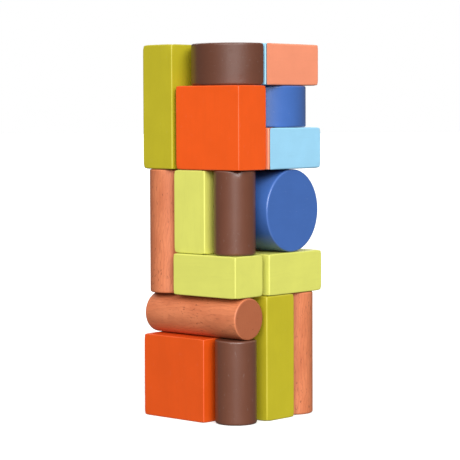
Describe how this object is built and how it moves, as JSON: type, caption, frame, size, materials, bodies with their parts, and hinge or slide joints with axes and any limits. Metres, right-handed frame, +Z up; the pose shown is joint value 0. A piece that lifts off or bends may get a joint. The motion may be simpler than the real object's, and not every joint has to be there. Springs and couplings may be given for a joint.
{
  "type": "tumbling tower block stack",
  "caption": "Tall square tumbling tower of painted and stained wooden blocks in mixed shapes, each free to be pulled out or lifted off.",
  "frame": {"origin": "on the ground, in the middle of the square plan of the stack, on the underside of the core block that stands there", "axes": "+Z up the stack, -Y towards the front face, +X towards the right face"},
  "size_m": [0.1585, 0.1606, 0.4497],
  "materials": {
    "olive_paint": "satin olive-green paint over wood",
    "orange_paint": "satin orange paint over wood",
    "brown_paint": "satin brown paint over wood",
    "natural_wood": "warm coral wood stain, matte, with the grain and pores showing",
    "lime_paint": "satin pale lime paint over wood",
    "blue_paint": "satin mid-blue paint over wood",
    "sky_paint": "satin pale sky-blue paint over wood",
    "salmon_paint": "satin salmon paint over wood"
  },
  "bodies": {
    "front_orange_slab_low": {"front_orange_slab_low": "orange_paint"},
    "front_brown_cylinder_low": {"front_brown_cylinder_low": "brown_paint"},
    "front_natural_cylinder_low": {"front_natural_cylinder_low": "natural_wood"},
    "front_lime_bar_mid": {"front_lime_bar_mid": "lime_paint"},
    "front_natural_cylinder_mid": {"front_natural_cylinder_mid": "natural_wood"},
    "front_lime_post_mid": {"front_lime_post_mid": "lime_paint"},
    "front_brown_cylinder_mid": {"front_brown_cylinder_mid": "brown_paint"},
    "front_orange_slab_top": {"front_orange_slab_top": "orange_paint"},
    "front_brown_half_round_top": {"front_brown_half_round_top": "brown_paint"},
    "front_olive_post_top": {"front_olive_post_top": "olive_paint"},
    "right_olive_post_low": {"right_olive_post_low": "olive_paint"},
    "right_natural_cylinder_low": {"right_natural_cylinder_low": "natural_wood"},
    "right_lime_bar_mid": {"right_lime_bar_mid": "lime_paint"},
    "right_blue_disc_mid": {"right_blue_disc_mid": "blue_paint"},
    "right_salmon_wedge_low": {"right_salmon_wedge_low": "salmon_paint"},
    "right_sky_wedge_low": {"right_sky_wedge_low": "sky_paint"},
    "right_blue_half_round_top": {"right_blue_half_round_top": "blue_paint"},
    "right_sky_wedge_top": {"right_sky_wedge_top": "sky_paint"},
    "right_salmon_wedge_top": {"right_salmon_wedge_top": "salmon_paint"},
    "base_block": {"core_orange_slab_low": "orange_paint"},
    "core_lime_bar_low": {"core_lime_bar_low": "lime_paint"},
    "left_olive_post_low": {"left_olive_post_low": "olive_paint"},
    "back_natural_cylinder_low": {"back_natural_cylinder_low": "natural_wood"},
    "left_brown_cylinder_mid": {"left_brown_cylinder_mid": "brown_paint"},
    "back_lime_bar_mid": {"back_lime_bar_mid": "lime_paint"},
    "left_orange_slab_mid": {"left_orange_slab_mid": "orange_paint"},
    "back_blue_disc_mid": {"back_blue_disc_mid": "blue_paint"},
    "core_lime_bar_top": {"core_lime_bar_top": "lime_paint"},
    "core_brown_cylinder_top": {"core_brown_cylinder_top": "brown_paint"},
    "core_sky_half_round_top": {"core_sky_half_round_top": "sky_paint"},
    "left_natural_cylinder_top": {"left_natural_cylinder_top": "natural_wood"},
    "back_olive_post_top": {"back_olive_post_top": "olive_paint"}
  },
  "joints": [
    {"name": "front_orange_slab_low_pull", "type": "slide", "parent": "base_block", "child": "front_orange_slab_low", "axis": [0, -1, 0], "range_m": [0, 0.07]},
    {"name": "front_brown_cylinder_low_pull", "type": "slide", "parent": "base_block", "child": "front_brown_cylinder_low", "axis": [0, -1, 0], "range_m": [0, 0.07]},
    {"name": "front_natural_cylinder_low_pull", "type": "slide", "parent": "base_block", "child": "front_natural_cylinder_low", "axis": [0, -1, 0], "range_m": [0, 0.07]},
    {"name": "front_lime_bar_mid_pull", "type": "slide", "parent": "base_block", "child": "front_lime_bar_mid", "axis": [0, -1, 0], "range_m": [0, 0.07]},
    {"name": "front_natural_cylinder_mid_pull", "type": "slide", "parent": "base_block", "child": "front_natural_cylinder_mid", "axis": [0, -1, 0], "range_m": [0, 0.07]},
    {"name": "front_lime_post_mid_pull", "type": "slide", "parent": "base_block", "child": "front_lime_post_mid", "axis": [0, -1, 0], "range_m": [0, 0.07]},
    {"name": "front_brown_cylinder_mid_pull", "type": "slide", "parent": "base_block", "child": "front_brown_cylinder_mid", "axis": [0, -1, 0], "range_m": [0, 0.07]},
    {"name": "front_orange_slab_top_pull", "type": "slide", "parent": "base_block", "child": "front_orange_slab_top", "axis": [0, -1, 0], "range_m": [0, 0.07]},
    {"name": "front_brown_half_round_top_lift", "type": "slide", "parent": "base_block", "child": "front_brown_half_round_top", "axis": [0, 0, 1], "range_m": [0, 0.07]},
    {"name": "front_olive_post_top_lift", "type": "slide", "parent": "base_block", "child": "front_olive_post_top", "axis": [0, 0, 1], "range_m": [0, 0.17]},
    {"name": "right_olive_post_low_pull", "type": "slide", "parent": "base_block", "child": "right_olive_post_low", "axis": [1, 0, 0], "range_m": [0, 0.07]},
    {"name": "right_natural_cylinder_low_pull", "type": "slide", "parent": "base_block", "child": "right_natural_cylinder_low", "axis": [1, 0, 0], "range_m": [0, 0.07]},
    {"name": "right_lime_bar_mid_pull", "type": "slide", "parent": "base_block", "child": "right_lime_bar_mid", "axis": [1, 0, 0], "range_m": [0, 0.07]},
    {"name": "right_blue_disc_mid_pull", "type": "slide", "parent": "base_block", "child": "right_blue_disc_mid", "axis": [1, 0, 0], "range_m": [0, 0.07]},
    {"name": "right_salmon_wedge_low_pull", "type": "slide", "parent": "base_block", "child": "right_salmon_wedge_low", "axis": [1, 0, 0], "range_m": [0, 0.07]},
    {"name": "right_sky_wedge_low_pull", "type": "slide", "parent": "right_salmon_wedge_low", "child": "right_sky_wedge_low", "axis": [1, 0, 0], "range_m": [0, 0.07]},
    {"name": "right_blue_half_round_top_pull", "type": "slide", "parent": "base_block", "child": "right_blue_half_round_top", "axis": [1, 0, 0], "range_m": [0, 0.07]},
    {"name": "right_sky_wedge_top_lift", "type": "slide", "parent": "base_block", "child": "right_sky_wedge_top", "axis": [0, 0, 1], "range_m": [0, 0.07]},
    {"name": "right_salmon_wedge_top_lift", "type": "slide", "parent": "base_block", "child": "right_salmon_wedge_top", "axis": [0, 0, 1], "range_m": [0, 0.07]},
    {"name": "core_lime_bar_low_pull", "type": "slide", "parent": "base_block", "child": "core_lime_bar_low", "axis": [0, 1, 0], "range_m": [0, 0.12]},
    {"name": "left_olive_post_low_pull", "type": "slide", "parent": "base_block", "child": "left_olive_post_low", "axis": [-1, 0, 0], "range_m": [0, 0.07]},
    {"name": "back_natural_cylinder_low_pull", "type": "slide", "parent": "base_block", "child": "back_natural_cylinder_low", "axis": [0, 1, 0], "range_m": [0, 0.07]},
    {"name": "left_brown_cylinder_mid_pull", "type": "slide", "parent": "base_block", "child": "left_brown_cylinder_mid", "axis": [-1, 0, 0], "range_m": [0, 0.12]},
    {"name": "back_lime_bar_mid_pull", "type": "slide", "parent": "base_block", "child": "back_lime_bar_mid", "axis": [0, 1, 0], "range_m": [0, 0.07]},
    {"name": "left_orange_slab_mid_pull", "type": "slide", "parent": "base_block", "child": "left_orange_slab_mid", "axis": [-1, 0, 0], "range_m": [0, 0.12]},
    {"name": "back_blue_disc_mid_pull", "type": "slide", "parent": "base_block", "child": "back_blue_disc_mid", "axis": [0, 1, 0], "range_m": [0, 0.07]},
    {"name": "core_lime_bar_top_pull", "type": "slide", "parent": "base_block", "child": "core_lime_bar_top", "axis": [0, 1, 0], "range_m": [0, 0.12]},
    {"name": "core_brown_cylinder_top_pull", "type": "slide", "parent": "base_block", "child": "core_brown_cylinder_top", "axis": [0, 1, 0], "range_m": [0, 0.12]},
    {"name": "core_sky_half_round_top_lift", "type": "slide", "parent": "base_block", "child": "core_sky_half_round_top", "axis": [0, 0, 1], "range_m": [0, 0.07]},
    {"name": "left_natural_cylinder_top_lift", "type": "slide", "parent": "base_block", "child": "left_natural_cylinder_top", "axis": [0, 0, 1], "range_m": [0, 0.17]},
    {"name": "back_olive_post_top_lift", "type": "slide", "parent": "base_block", "child": "back_olive_post_top", "axis": [0, 0, 1], "range_m": [0, 0.17]}
  ]
}
